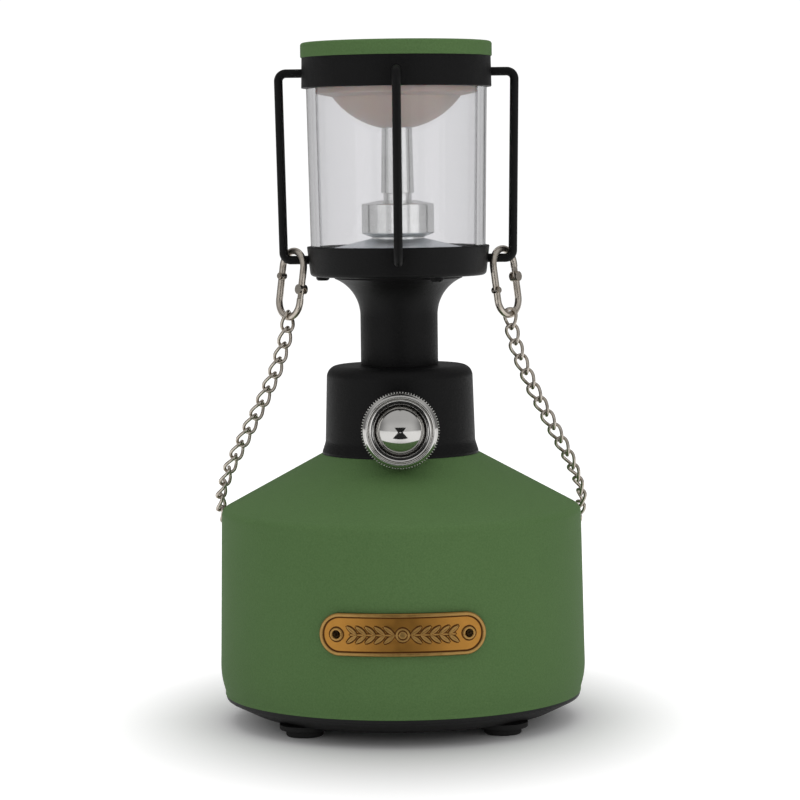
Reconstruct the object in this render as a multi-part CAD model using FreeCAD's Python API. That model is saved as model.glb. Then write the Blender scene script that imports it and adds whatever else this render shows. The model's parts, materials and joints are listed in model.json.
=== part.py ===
"""Rechargeable camping lantern in the style of a gas lantern, in millimetres.

The frame stands on the floor plane z = 0, with its origin under the middle of the tank.
+Z is up, and the name plate and the dimmer knob face -Y.
"""

import FreeCAD, Part
import math
import os

V = FreeCAD.Vector
AXIS = V(0, 0, 1)
ORIGIN = V(0, 0, 0)

# Fits and gaps
fit = 0.1  # a part seated in another one
running = 0.05  # a shaft or pin that turns in its bore
apart = 0.4  # between pieces that move past each other

# Feet and base plate
foot_d = 12.6
foot_flange_d = 17.0
foot_flange_h = 1.8
foot_h = 4.1
foot_inset = 16.0
foot_peg_d = 6.0
foot_peg_h = 1.5
plate_h = 5.7
plate_floor = 3.0
plate_bottom_inset = 9.0
plate_rim_inset = 0.3
plate_rim_h = 1.4
plate_flare = 4.0
spigot_h = 4.0
spigot_wall = 2.0
base_screw_inset = 15.0
pillar_d = 8.0

# Tank
tank_d = 127.0
tank_wall = 1.5
tank_side_h = 64.0
tank_edge_inset = 1.5
tank_belly_h = 6.8
tank_belly_round = 24.0
tank_taper = 1.1
shoulder_round = 3.2
cone_rise = 19.1
land_w = 7.1
boss_h = 15.0

# Collar, knob and neck
collar_foot_d = 54.2
collar_d = 52.0
collar_taper = 0.8
collar_wall = 2.6
collar_h = 30.6
collar_edge = 4.0
knob_up = 10.8
knob_d = 26.6
knob_skirt = 6.2
knob_sink = 1.6
knob_dome_d = 16.4
knurl_count = 72
knurl_depth = 0.45
pot_d = 16.5
pot_depth = 7.5
bushing_d = 7.0
shaft_d = 6.0
pedestal_d = 19.0
neck_d = 26.8
neck_wall = 3.4
neck_straight = 17.2
neck_flare_rise = 12.8
neck_flare_d = 44.2
neck_lip = 0.9

# Lamp house
ring_lip = 1.2
ring_h = 10.3
ring_taper = 1.2
ring_floor = 2.4
ring_ledge = 5.2
lamp_screw_inset = 5.4
seat_depth = 2.2
seal_h = 0.8
glass_d = 62.4
glass_taper = 1.0
glass_wall = 3.1
glass_show = 54.4
band_lip = 1.4
seat_fit = 0.2
band_h = 10.5
band_seat = 3.2
cap_lip = 0.2
cap_h = 5.1
cap_rim = 3.2
cap_spigot = 2.6
diffuser_inset = 5.9
diffuser_h = 11.3
diffuser_skirt = 5.2
diffuser_wall = 1.6
board_inset = 8.1
board_t = 1.6
led_count = 12
led_size = 2.8
led_ring_r = 13.0
stem_d_low = 11.4
stem_d_top = 10.4
cup_d = 25.0
cup_foot_d = 18.0
cup_h = 10.1
cup_chamfer = 4.4
neck_ring_h = 2.4
dish_rise = 2.6
lead_d = 2.6

# Guard wires
wire_d = 3.0
wire_stand_off = 8.0
wire_slant = 1.1
wire_bend = 2.6
wire_insert = 4.5
guard_low = 5.7
guard_high = 5.2

# Hinged rings and chain
clip_stand_off = 4.1
clip_wire = 2.4
clip_tall = 25.4
clip_wide = 13.9
clip_turn = 50.0
clip_lean = 7.0
clip_pin_d = 1.2
hinge_w = -2.3  # the hinge lies this far below the oval's middle
latch_w = 2.6  # and the latch this far above it
tongue_half = 0.45
slot_half = 0.55
latch_half = 0.8
pivot_r = 1.5
link_wire = 1.2
link_long = 8.2
link_wide = 5.2
link_play = 0.3
blend_links = 10
chain_behind = 16.0
chain_shape = 82.0
chain_off = 2.4
chain_leave = 0.06
chain_arrive = 0.72
shoulder_drop = 2.3

# Name plate and charging port
plate_up = 28.8
name_w = 54.8
name_h = 14.2
name_t = 1.4
name_rim = 1.1
name_rim_h = 0.6
rivet_off = 21.8
rivet_d = 2.4
port_up = 40.5
port_w = 9.0
port_h = 3.2
port_depth = 7.4
bezel_w = 17.0
bezel_h = 11.0
bezel_t = 1.2
cover_t = 1.3
ear_drop = 2.0
cover_pin_d = 1.2

# Inside
cell_d = 18.3
cell_len = 65.0
cell_gap = 1.0
tray_wall = 2.5
tray_h = 14.0
circuit_w = 34.0
circuit_len = 30.0
post_d = 6.0

# Heights and radii that follow from the sizes above
tank_r = tank_d / 2
z_plate = foot_h
z_tank = z_plate + plate_h
z_shoulder = z_tank + tank_side_h
z_collar = z_shoulder + cone_rise
z_neck = z_collar + collar_h
z_ring = z_neck + neck_straight + neck_flare_rise + neck_lip
z_glass = z_ring + ring_h
z_band = z_glass + glass_show
z_cap = z_band + band_h
z_knob = z_collar + knob_up
z_plate_name = z_tank + plate_up
z_port = z_tank + port_up
shoulder_r = tank_r - tank_taper
tank_edge_r = tank_r - tank_edge_inset
tank_land_r = collar_foot_d / 2 - land_w
foot_circle_r = tank_r - foot_inset
base_screw_r = tank_r - base_screw_inset
collar_r = collar_d / 2
glass_top_r = glass_d / 2
glass_low_r = glass_top_r - glass_taper
glass_bore_r = glass_top_r - glass_wall
ring_r = glass_low_r + seat_fit + ring_lip
ring_bore_r = glass_low_r - ring_ledge
lamp_screw_r = ring_r - lamp_screw_inset
band_r = glass_top_r + seat_fit + band_lip
cap_r = band_r + cap_lip
cap_inner_r = band_r - cap_rim
diffuser_r = glass_bore_r - diffuser_inset
board_r = glass_bore_r - board_inset
clip_at = ring_r + clip_stand_off
z_seat_low = z_glass - seat_depth
z_seat_high = z_band + band_seat
z_guard_low = z_ring + guard_low
z_guard_high = z_band + guard_high
wire_out_r = ring_r + wire_stand_off
clip_u = (clip_wide - clip_wire) / 2
clip_w = (clip_tall - clip_wire) / 2
collar_screw_r = (tank_land_r + collar_foot_d / 2) / 2 - 0.4
cone_slope = cone_rise / (shoulder_r - collar_foot_d / 2)


# Drawing helpers


def lerp(a, b, t):
    return a + (b - a) * t


def polar(r, degrees, z=0.0):
    a = math.radians(degrees)
    return V(r * math.cos(a), r * math.sin(a), z)


def corner_cut(before, here, after, radius):
    """The two tangent points and the middle of the arc that rounds one corner."""
    back = (before - here).normalize()
    ahead = (after - here).normalize()
    half = back.getAngle(ahead) / 2
    reach = radius / math.tan(half)
    middle = (back + ahead).normalize()
    centre = here + middle * (radius / math.sin(half))
    return here + back * reach, centre - middle * radius, here + ahead * reach


def path_edges(points, closed=False):
    """Straight runs through (x, z) or (x, z, corner radius), with tangent arcs at the corners."""
    places = [V(p[0], 0, p[1]) for p in points]
    count = len(places)
    stops = []
    for i, p in enumerate(points):
        inner = closed or 0 < i < count - 1
        if len(p) > 2 and inner:
            cut = corner_cut(places[i - 1], places[i], places[(i + 1) % count], p[2])
            stops.append(cut)
        else:
            stops.append((places[i], None, places[i]))
    edges = []
    for i, (start, mid, end) in enumerate(stops):
        if mid is not None:
            edges.append(Part.Arc(start, mid, end).toShape())
        if closed or i < count - 1:
            following = stops[(i + 1) % count][0]
            if end.distanceToPoint(following) > 1e-6:
                edges.append(Part.LineSegment(end, following).toShape())
    return edges


def turned(points):
    """The solid of revolution of a closed outline of (radius, height[, corner radius])."""
    face = Part.Face(Part.Wire(path_edges(points, closed=True)))
    return face.revolve(ORIGIN, AXIS, 360)


def offset_left(points, by):
    """An open outline moved to its left, with its corner radii kept concentric."""
    places = [V(p[0], 0, p[1]) for p in points]
    sides = []
    for a, b in zip(places, places[1:]):
        run = (b - a).normalize()
        sides.append(V(-run.z, 0, run.x))
    moved = [(places[0].x + sides[0].x * by, places[0].z + sides[0].z * by)]
    for i in range(1, len(places) - 1):
        one, two = sides[i - 1], sides[i]
        shift = (one + two) * (by / (1 + one.dot(two)))
        here = places[i] + shift
        turn = one.x * two.z - one.z * two.x
        radius = points[i][2] if len(points[i]) > 2 else 0
        radius = radius - by if turn > 0 else radius + by
        moved.append((here.x, here.z, radius) if radius > 0.05 else (here.x, here.z))
    moved.append((places[-1].x + sides[-1].x * by, places[-1].z + sides[-1].z * by))
    return moved


def turned_wall(points, wall):
    """A thin turned shell, whose outer outline runs up the outside of the wall."""
    return turned(list(points) + offset_left(points, wall)[::-1])


def disc(r, h, z, x=0.0, y=0.0):
    return Part.makeCylinder(r, h, V(x, y, z), AXIS)


def tube(r_out, r_in, h, z, x=0.0, y=0.0):
    return disc(r_out, h, z, x, y).cut(disc(r_in, h, z, x, y))


def block(w, d, h, x, y, z):
    """A box centred on x and y, that stands on z."""
    return Part.makeBox(w, d, h, V(x - w / 2, y - d / 2, z))


def hexagon(across, h, z, hole_r):
    corners = [polar(across / math.sqrt(3), 60 * i, z) for i in range(7)]
    nut = Part.Face(Part.makePolygon(corners)).extrude(V(0, 0, h))
    return nut.cut(disc(hole_r, h, z))


def rod(points, d):
    """A round wire along a path in the XZ plane."""
    edges = path_edges(points)
    path = Part.Wire(edges)
    first = edges[0]
    start = first.valueAt(first.FirstParameter)
    ring = Part.Wire(Part.makeCircle(d / 2, start, first.tangentAt(first.FirstParameter)))
    return path.makePipeShell([ring], True, False)


def screw(shank_d, shank_h, head_d, head_h, z_head):
    """A pan-head screw that points up, with the seat of its head at z_head."""
    head = turned([(0, z_head), (0, z_head - head_h), (head_d / 2, z_head - head_h, head_h * 0.6),
                   (head_d / 2, z_head)])
    slot = block(head_d, head_d * 0.16, head_h * 0.4, 0, 0, z_head - head_h)
    return head.fuse(disc(shank_d / 2, shank_h, z_head)).cut(slot)


def around(shape, r, angles):
    """Copies of a shape that stands on the axis, moved out to radius r at each angle."""
    copies = []
    for angle in angles:
        copy = shape.copy()
        copy.translate(V(r, 0, 0))
        copy.rotate(ORIGIN, AXIS, angle)
        copies.append(copy)
    return copies


def holes(shape, tools):
    for tool in tools:
        shape = shape.cut(tool)
    return shape


def facing_front(shape, z):
    """Turns a shape made along +Z so that it points to -Y, at height z."""
    shape.rotate(ORIGIN, V(1, 0, 0), 90)
    shape.translate(V(0, 0, z))
    return shape


def stadium(w, h, deep, y, x, z):
    """A slab with round ends, w by h, from y to y + deep, centred on x and z."""
    r = h / 2
    run = w / 2 - r
    left = V(x - run, y, z)
    right = V(x + run, y, z)
    up = V(0, 0, r)
    edges = [
        Part.LineSegment(left + up, right + up).toShape(),
        Part.Arc(right + up, right + V(r, 0, 0), right - up).toShape(),
        Part.LineSegment(right - up, left - up).toShape(),
        Part.Arc(left - up, left - V(r, 0, 0), left + up).toShape(),
    ]
    return Part.Face(Part.Wire(edges)).extrude(V(0, deep, 0))


def soft_box(w, deep, h, y, z, r):
    """A slab w by h with rounded corners, from y to y + deep, centred on x = 0 and z."""
    points = [(-w / 2, z - h / 2, r), (w / 2, z - h / 2, r), (w / 2, z + h / 2, r), (-w / 2, z + h / 2, r)]
    face = Part.Face(Part.Wire(path_edges(points, closed=True)))
    slab = face.extrude(V(0, deep, 0))
    slab.translate(V(0, y, 0))
    return slab


# Tank


def tank_outline():
    return [
        (tank_edge_r, z_tank),
        (tank_edge_r, z_tank + 1.2, 2.0),
        (tank_r, z_tank + tank_belly_h, tank_belly_round),
        (shoulder_r, z_shoulder, shoulder_round),
        (collar_foot_d / 2 + 0.2, z_collar, 1.6),
        (tank_land_r, z_collar),
    ]


def tank_side_r(z):
    """Outer radius of the tank on its nearly straight side."""
    low = z_tank + tank_belly_h
    return lerp(tank_r, shoulder_r, (z - low) / (z_shoulder - low))


def side_band(z, half, lift, thick):
    """A ring that follows the tank's side, between two lifts off its surface."""
    low, high = z - half, z + half
    a, b = tank_side_r(low) + lift, tank_side_r(high) + lift
    return turned([(a, low), (a + thick, low), (b + thick, high), (b, high)])


def rivet_angle():
    """How far round the tank a plate rivet sits from the middle of the plate, in degrees."""
    return math.degrees(math.asin(rivet_off / tank_side_r(z_plate_name)))


def rivet_tools(r, start, length):
    tools = []
    for side in (-1, 1):
        angle = -90 + side * rivet_angle()
        base = polar(start, angle, z_plate_name)
        tools.append(Part.makeCylinder(r, length, base, polar(1, angle)))
    return tools


def collar_screw_tools(r, z, h):
    return around(disc(r, h, z), collar_screw_r, (30, 150, 270))


def tank_shell():
    shell = turned_wall(tank_outline(), tank_wall)
    z_boss = z_tank + spigot_h + apart
    reach = tank_r - tank_wall / 2 - base_screw_r
    boss = disc(pillar_d / 2, boss_h, z_boss)
    boss = boss.fuse(Part.makeBox(reach, 3.0, boss_h, V(0, -1.5, z_boss)))
    boss = boss.cut(disc(1.3, boss_h - 3, z_boss))
    for copy in around(boss, base_screw_r, (0, 90, 180, 270)):
        shell = shell.fuse(copy)
    port = soft_box(bezel_w - 4, tank_wall * 4, bezel_h - 4, tank_r - tank_wall * 3, z_port, 2.0)
    shell = shell.cut(port)
    shell = holes(shell, rivet_tools(rivet_d / 2 + fit, tank_r - 2 * tank_wall, 3 * tank_wall))
    return holes(shell, collar_screw_tools(1.7, z_collar - 2 * tank_wall, 3 * tank_wall))


def base_plate():
    spigot_r = tank_edge_r - tank_wall - fit
    rim_r = tank_edge_r - plate_rim_inset
    plate = turned([
        (0, z_plate),
        (tank_edge_r - plate_bottom_inset, z_plate, 2.0),
        (rim_r, z_tank - plate_rim_h, 0.8),
        (rim_r, z_tank),
        (spigot_r, z_tank),
        (spigot_r, z_tank + spigot_h),
        (spigot_r - spigot_wall, z_tank + spigot_h),
        (spigot_r - spigot_wall, z_tank),
        (spigot_r - spigot_wall - plate_flare, z_plate + plate_floor),
        (0, z_plate + plate_floor),
    ])
    top = z_tank + spigot_h
    root = z_plate + plate_floor / 2
    for pillar in around(disc(pillar_d / 2, top - root, root), base_screw_r, (0, 90, 180, 270)):
        plate = plate.fuse(pillar)
    for x in (-1, 1):
        post = disc(post_d / 2, circuit_z() - root, root, x * circuit_hole_x(), circuit_hole_y())
        plate = plate.fuse(post).cut(disc(0.8, 8, circuit_z() - 8, x * circuit_hole_x(), circuit_hole_y()))
    bores = around(disc(1.7, top, 0), base_screw_r, (0, 90, 180, 270))
    bores += around(disc(3.3, 2.2, z_plate), base_screw_r, (0, 90, 180, 270))
    bores += around(disc(foot_peg_d / 2 + fit, foot_peg_h + fit, z_plate), foot_circle_r, (45, 135, 225, 315))
    return holes(plate, bores)


def rubber_feet():
    foot = turned([
        (0, 0),
        (foot_d / 2, 0, 0.8),
        (foot_d / 2, foot_h - foot_flange_h),
        (foot_flange_d / 2, foot_h - foot_flange_h, 0.6),
        (foot_flange_d / 2, foot_h),
        (foot_peg_d / 2, foot_h),
        (foot_peg_d / 2, foot_h + foot_peg_h),
        (0, foot_h + foot_peg_h),
    ])
    return Part.makeCompound(around(foot, foot_circle_r, (45, 135, 225, 315)))


def base_screws():
    one = screw(2.6, spigot_h + plate_h + 6, 5.6, 1.8, z_plate + 2.2)
    return Part.makeCompound(around(one, base_screw_r, (0, 90, 180, 270)))


def collar_screws():
    one = screw(2.8, tank_wall + 4.5, 5.0, 1.6, z_collar - tank_wall)
    return Part.makeCompound(around(one, collar_screw_r, (30, 150, 270)))


# Battery, circuit board and charging port


def cell_spots():
    y = (cell_d + cell_gap) / 2
    return [(-y, z_plate + plate_floor + 2.0 + cell_d / 2), (y, z_plate + plate_floor + 2.0 + cell_d / 2)]


def battery_cells():
    cells = []
    for y, z in cell_spots():
        can = Part.makeCylinder(cell_d / 2, cell_len - 1.5, V(-cell_len / 2, y, z), V(1, 0, 0))
        cap = Part.makeCylinder(3.0, 1.5, V(cell_len / 2 - 1.5, y, z), V(1, 0, 0))
        cells.append(can.fuse(cap))
    return Part.makeCompound(cells)


def battery_tray():
    inner_w = cell_len + 2 * apart
    inner_d = 2 * cell_d + cell_gap + 2 * apart
    z = z_plate + plate_floor
    tray = block(inner_w + 2 * tray_wall, inner_d + 2 * tray_wall, tray_h, 0, 0, z)
    return tray.cut(block(inner_w, inner_d, tray_h, 0, 0, z + 2.0))


def circuit_z():
    """Underside of the circuit board, so that the port sits in the middle of its bezel."""
    return z_port - port_h / 2 - board_t


def circuit_hole_x():
    return circuit_w / 2 - 4.0


def circuit_hole_y():
    return tank_r - tank_wall - 16.0


def circuit_board():
    back = circuit_back()
    board = block(circuit_w, circuit_len, board_t, 0, back - circuit_len / 2, circuit_z())
    chip = block(8, 8, 1.2, 5, back - 18, circuit_z() + board_t)
    coil = block(7, 7, 3.0, -7, back - 18, circuit_z() + board_t)
    board = board.fuse(chip).fuse(coil)
    for x in (-1, 1):
        board = board.cut(disc(1.1, board_t, circuit_z(), x * circuit_hole_x(), circuit_hole_y()))
    return board


def circuit_back():
    """The board's back edge, clear of the curved wall at the board's corners."""
    inner = tank_side_r(z_port) - tank_wall - apart
    return math.sqrt(inner ** 2 - (circuit_w / 2) ** 2) - apart


def circuit_screws():
    one = screw(1.5, 6.0, 3.4, 1.2, 0)
    one.rotate(ORIGIN, V(1, 0, 0), 180)
    found = []
    for x in (-1, 1):
        copy = one.copy()
        copy.translate(V(x * circuit_hole_x(), circuit_hole_y(), circuit_z() + board_t))
        found.append(copy)
    return Part.makeCompound(found)


def usb_port():
    y = circuit_back() - port_depth + 4.0
    outer = soft_box(port_w, port_depth, port_h, y, z_port, 1.5)
    inner = soft_box(port_w - 0.7, port_depth - 1.5, port_h - 0.7, y + 1.5, z_port, 1.15)
    tongue = block(port_w - 2.4, port_depth - 3.5, 0.6, 0, y + port_depth / 2 - 0.5, z_port - 0.3)
    return outer.cut(inner).fuse(tongue)


def back_part(band, w, h, r):
    """The part of a ring round the tank that lies inside a rounded window at the back."""
    return band.common(soft_box(w, tank_r, h, tank_r / 2, z_port, r))


def hinge_line():
    """Height and depth of the port cover's hinge."""
    z = z_port + bezel_h / 2 + 0.6
    return z, tank_side_r(z_port) + bezel_t + apart + cover_t


def port_bezel():
    flange = back_part(side_band(z_port, bezel_h, 0, bezel_t), bezel_w, bezel_h, 2.5)
    start = tank_side_r(z_port) - tank_wall - 1.0
    deep = tank_wall + 1.0 + bezel_t / 2
    sleeve = soft_box(bezel_w - 4 - 2 * fit, deep, bezel_h - 4 - 2 * fit, start, z_port, 1.9)
    bezel = flange.fuse(sleeve)
    z, y = hinge_line()
    for x in (-5.4, 5.4):
        ear = Part.makeCylinder(1.4, 2.0, V(x - 1.0, y, z), V(1, 0, 0))
        root = Part.makeBox(2.0, cover_t + apart + 0.7, ear_drop,
                            V(x - 1.0, y - cover_t - apart - 0.7, z - ear_drop))
        bezel = bezel.fuse(ear).fuse(root)
    bezel = bezel.cut(Part.makeCylinder(cover_pin_d / 2, 20, V(-10, y, z), V(1, 0, 0)))
    return bezel.cut(soft_box(port_w + 2 * apart, 20, port_h + 2 * apart, tank_r - 12, z_port, 1.5))


def port_cover():
    lift = bezel_t + apart
    z, y = hinge_line()
    flap_top = z - ear_drop - apart
    flap = back_part(side_band(z_port, bezel_h, lift, cover_t), bezel_w - 3.0, 2 * (flap_top - z_port), 2.5)
    barrel = Part.makeCylinder(1.3, 8.0, V(-4.0, y, z), V(1, 0, 0))
    arm = Part.makeBox(8.0, cover_t, z - flap_top + 1.5, V(-4.0, y - cover_t, flap_top - 1.5))
    cover = flap.fuse(arm).fuse(barrel)
    return cover.cut(Part.makeCylinder(cover_pin_d / 2 + running, 20, V(-10, y, z), V(1, 0, 0)))


def cover_pin():
    z, y = hinge_line()
    return Part.makeCylinder(cover_pin_d / 2, 12.8, V(-6.4, y, z), V(1, 0, 0))


# Name plate


def name_plate():
    body = side_band(z_plate_name, name_h, 0, name_t)
    rim_band = side_band(z_plate_name, name_h, name_t - 0.3, name_rim_h + 0.3)
    y = -tank_r * 1.2
    deep = tank_r * 0.6
    outer = stadium(name_w, name_h, deep, y, 0, z_plate_name)
    inner = stadium(name_w - 2 * name_rim, name_h - 2 * name_rim, deep, y, 0, z_plate_name)
    plate = body.common(outer).fuse(rim_band.common(outer.cut(inner)))
    for ring in rivet_tools(rivet_d / 2 + 1.0, tank_r - tank_taper, name_t + 1.5):
        plate = plate.fuse(ring.common(side_band(z_plate_name, name_h, name_t - 0.3, 0.7)))
    return holes(plate, rivet_tools(rivet_d / 2 + fit, tank_r - 3, 6))


def plate_rivets():
    start = tank_side_r(z_plate_name) - tank_wall - 0.6
    length = tank_wall + name_t + 0.6 + 0.1
    rivets = []
    for side, shank in zip((-1, 1), rivet_tools(rivet_d / 2, start, length)):
        angle = -90 + side * rivet_angle()
        tip = polar(start + length - 0.9, angle, z_plate_name)
        dome = Part.makeSphere(rivet_d / 2, tip)
        rivets.append(shank.fuse(dome))
    return Part.makeCompound(rivets)


# Collar and knob


def knob_rear():
    """How far in front of the axis the knob's back is, clear of the cone below it."""
    z = z_knob - knob_d / 2
    return collar_foot_d / 2 + (z_collar - z) / cone_slope + 1.4


def collar():
    top_r = collar_r - collar_taper
    outline = [
        (collar_foot_d / 2, z_collar),
        (collar_foot_d / 2, z_collar + 0.8, 0.7),
        (collar_r, z_collar + 4.2, 4.0),
        (top_r, z_neck, collar_edge),
        (neck_d / 2 - neck_wall, z_neck),
        (neck_d / 2 - neck_wall, z_neck - collar_wall),
        (top_r - collar_wall, z_neck - collar_wall, 1.0),
        (collar_r - collar_wall, z_collar + 7.0),
        (tank_land_r + fit, z_collar + 5.0),
        (tank_land_r + fit, z_collar),
    ]
    body = turned(outline)
    face = knob_rear() - 1.2
    back = pot_front()
    pedestal = turned([(0, back), (pedestal_d / 2, back), (pedestal_d / 2, face, 1.0), (0, face)])
    body = body.fuse(facing_front(pedestal, z_knob))
    body = body.cut(facing_front(disc(pot_d / 2 + fit, pot_depth, back - pot_depth), z_knob))
    body = body.cut(facing_front(disc(bushing_d / 2 + fit, face, 0), z_knob))
    body = holes(body, neck_screw_tools(1.1, z_neck - 2 * collar_wall, 3 * collar_wall))
    return holes(body, collar_screw_tools(1.4 + fit, z_collar - 1, 6.0))


def neck_screw_tools(r, z, h):
    return around(disc(r, h, z), (neck_d - neck_wall) / 2, (90, 210, 330))


def pot_front():
    """The front face of the dimmer body, just inside the collar's wall."""
    inner = collar_r - collar_taper - collar_wall
    return math.sqrt(inner ** 2 - (pot_d / 2) ** 2) - apart


def dimmer_pot():
    back = pot_front()
    body = disc(pot_d / 2, pot_depth, back - pot_depth)
    bushing = disc(bushing_d / 2, knob_rear() + 0.6 - back, back)
    terminals = block(9.0, 5.0, 1.2, 0, -pot_d / 2 - 1.0, back - pot_depth)
    pot = body.fuse(bushing).fuse(terminals)
    return facing_front(pot.cut(disc(shaft_d / 2 + running, 60, back - pot_depth + 1.5)), z_knob)


def pot_nut():
    return facing_front(hexagon(10.0, 1.7, knob_rear() - 1.2, bushing_d / 2), z_knob)


def pot_shaft():
    start = pot_front() - pot_depth + 1.5 + apart
    end = knob_rear() + knob_skirt - knob_sink - apart
    shaft = disc(shaft_d / 2, end - start, start)
    flat = block(shaft_d, shaft_d, end - knob_rear() - 1.0, 0, shaft_d * 0.8, knob_rear() + 1.0)
    return facing_front(shaft.cut(flat), z_knob)


def knurled(r, depth, count, h, z):
    points = []
    for i in range(2 * count + 1):
        out = r if i % 2 == 0 else r - depth
        points.append(polar(out, 180.0 * i / count, z))
    return Part.Face(Part.makePolygon(points)).extrude(V(0, 0, h))


def knob_body():
    back = knob_rear()
    front = back + knob_skirt
    r = knob_d / 2
    seat = knob_dome_d / 2 + 1.1
    shape = turned([
        (0, back),
        (r, back),
        (r, front - 0.9),
        (r - 0.9, front, 0.5),
        (r - 2.2, front + 0.7, 0.4),
        (seat + 0.8, front - 0.2, 0.5),
        (seat, front - knob_sink),
        (0, front - knob_sink),
    ])
    rim = knurled(r, knurl_depth, knurl_count, knob_skirt - 0.9, back)
    shape = shape.common(rim.fuse(disc(r - knurl_depth, knob_skirt + 2, back)))
    cavity = tube(r - 2.4, 5.4, 3.4, back)
    recess = disc(6.6, 3.0, back)
    shape = shape.cut(cavity).cut(recess)
    return facing_front(shape.cut(pot_bore(back)), z_knob)


def pot_bore(back):
    """The D-shaped bore that fits the shaft."""
    bore = disc(shaft_d / 2, knob_skirt, back)
    return bore.cut(block(shaft_d, shaft_d, knob_skirt, 0, shaft_d * 0.8, back + 1.0))


def knob_dome():
    seat = knob_rear() + knob_skirt - knob_sink
    r = knob_dome_d / 2
    rise = 5.0
    ball = (r ** 2 + rise ** 2) / (2 * rise)
    dome = Part.makeSphere(ball, V(0, 0, seat + 1.0 + rise - ball))
    dome = dome.common(disc(r, rise + 2, seat + 1.0)).fuse(disc(r, 1.0, seat))
    return facing_front(dome, z_knob)


# Neck and lamp house


def neck():
    r, flare = neck_d / 2, neck_flare_d / 2
    rise, out = neck_flare_rise, neck_flare_d / 2 - neck_d / 2
    sweep = (out ** 2 + rise ** 2) / (2 * out)
    bend = math.asin(min(0.98, rise / sweep))
    corner = z_neck + neck_straight + sweep * math.tan(bend / 2)
    web = z_ring - 3.0
    inside = r - neck_wall
    shape = turned([
        (inside, z_neck),
        (r, z_neck),
        (r, corner, sweep * 0.999),
        (flare, z_ring - neck_lip),
        (flare, z_ring),
        (spigot_bore_r(), z_ring),
        (spigot_bore_r(), web),
        (inside + 1.5, web, 1.4),
        (inside, z_neck + neck_straight * 0.8),
    ])
    return holes(shape, neck_screw_tools(0.9, z_neck, 6.0))


def spigot_bore_r():
    return cup_foot_d / 2 - 2.5 + fit


def neck_screws():
    one = screw(1.8, collar_wall + 4.5, 3.6, 1.2, z_neck - collar_wall)
    return Part.makeCompound(around(one, (neck_d - neck_wall) / 2, (90, 210, 330)))


def guard_bores(r_wall, z):
    """Four radial bores for the ends of the guard wires."""
    bore = Part.makeCylinder(wire_d / 2 + running, wire_insert + 8, V(r_wall - wire_insert, 0, z), V(1, 0, 0))
    return around(bore, 0, (0, 90, 180, 270))


def lower_ring():
    r = ring_r
    seat_r = glass_low_r + seat_fit
    shape = turned([
        (spigot_bore_r(), z_ring),
        (r - ring_taper, z_ring, 1.5),
        (r, z_glass, 0.3),
        (seat_r, z_glass),
        (seat_r, z_seat_low),
        (ring_bore_r, z_seat_low),
        (ring_bore_r, z_ring + ring_floor),
        (spigot_bore_r(), z_ring + ring_floor),
    ])
    shape = holes(shape, guard_bores(r - ring_taper, z_guard_low))
    return holes(shape, around(disc(1.0, 2.0, z_ring), lamp_screw_r, (60, 180, 300)))


def lamp_screws():
    one = screw(2.0, 2.0, 4.6, 1.5, z_ring)
    return Part.makeCompound(around(one, lamp_screw_r, (60, 180, 300)))


def lower_seal():
    outer = glass_low_r
    return tube(outer, outer - glass_wall, seal_h, z_seat_low)


def upper_seal():
    return tube(glass_top_r, glass_bore_r, seal_h, z_seat_high - seal_h)


def glass_chimney():
    low, high = z_seat_low + seal_h, z_seat_high - seal_h
    return turned([
        (glass_low_r - glass_wall, low),
        (glass_low_r, low),
        (glass_top_r, high),
        (glass_bore_r, high),
    ])


def reflector_dish():
    edge = glass_low_r - glass_wall - apart
    inner = cup_foot_d / 2 + fit
    return turned([
        (edge, z_seat_low),
        (edge, z_seat_low + 0.6),
        (inner, z_glass + dish_rise),
        (inner, z_glass + dish_rise - 0.6),
        (ring_bore_r - 1.0, z_seat_low),
    ])


def z_cup_top():
    return z_glass + cup_chamfer + cup_h


def stem_cup():
    floor = z_ring + ring_floor
    r = cup_d / 2
    foot = cup_foot_d / 2
    top = z_cup_top()
    shape = turned([
        (lead_bore_r(), z_ring - 9.0),
        (spigot_bore_r() - fit, z_ring - 9.0),
        (spigot_bore_r() - fit, floor),
        (foot, floor),
        (foot, z_glass + dish_rise + apart),
        (r, z_glass + cup_chamfer, 0.4),
        (r, top, 0.5),
        (stem_d_low / 2 + 0.6, top + 1.2),
        (lead_bore_r(), top + 1.2),
    ])
    return shape


def lead_bore_r():
    return lead_d / 2 + 0.6


def stem_nut():
    return hexagon(16.0, 4.0, z_ring - 3.0 - 4.0, spigot_bore_r() - fit)


def stem():
    foot = z_cup_top() + 1.2
    low = stem_d_low / 2
    top = z_diffuser() + 3.0
    return turned([
        (lead_bore_r(), foot),
        (low - 0.8, foot),
        (low - 0.8, foot + neck_ring_h),
        (low, foot + neck_ring_h, 0.3),
        (stem_d_top / 2, top, 0.4),
        (lead_bore_r(), top),
    ])


def z_diffuser():
    """Lowest point of the diffuser's dome."""
    return z_seat_high - diffuser_skirt - 1.0 - diffuser_h


def diffuser_dome():
    rim_z = z_seat_high - diffuser_skirt
    rim_r = glass_bore_r - 0.3
    ball = (diffuser_r ** 2 + diffuser_h ** 2) / (2 * diffuser_h)
    centre = V(0, 0, z_diffuser() + ball)
    cap = Part.makeSphere(ball, centre).cut(Part.makeSphere(ball - diffuser_wall, centre))
    cap = cap.common(disc(diffuser_r, diffuser_h, z_diffuser()))
    flange = turned([
        (rim_r - 2.0, z_seat_high),
        (rim_r - 2.0, rim_z + 1.4),
        (diffuser_r - 1.9, rim_z + 0.6),
        (diffuser_r - 1.9, rim_z - 1.0),
        (diffuser_r, rim_z - 1.0),
        (rim_r, rim_z, 0.5),
        (rim_r, z_seat_high),
    ])
    return cap.fuse(flange).cut(disc(stem_d_top / 2 + 0.3, 12, z_diffuser() - 2))


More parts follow.
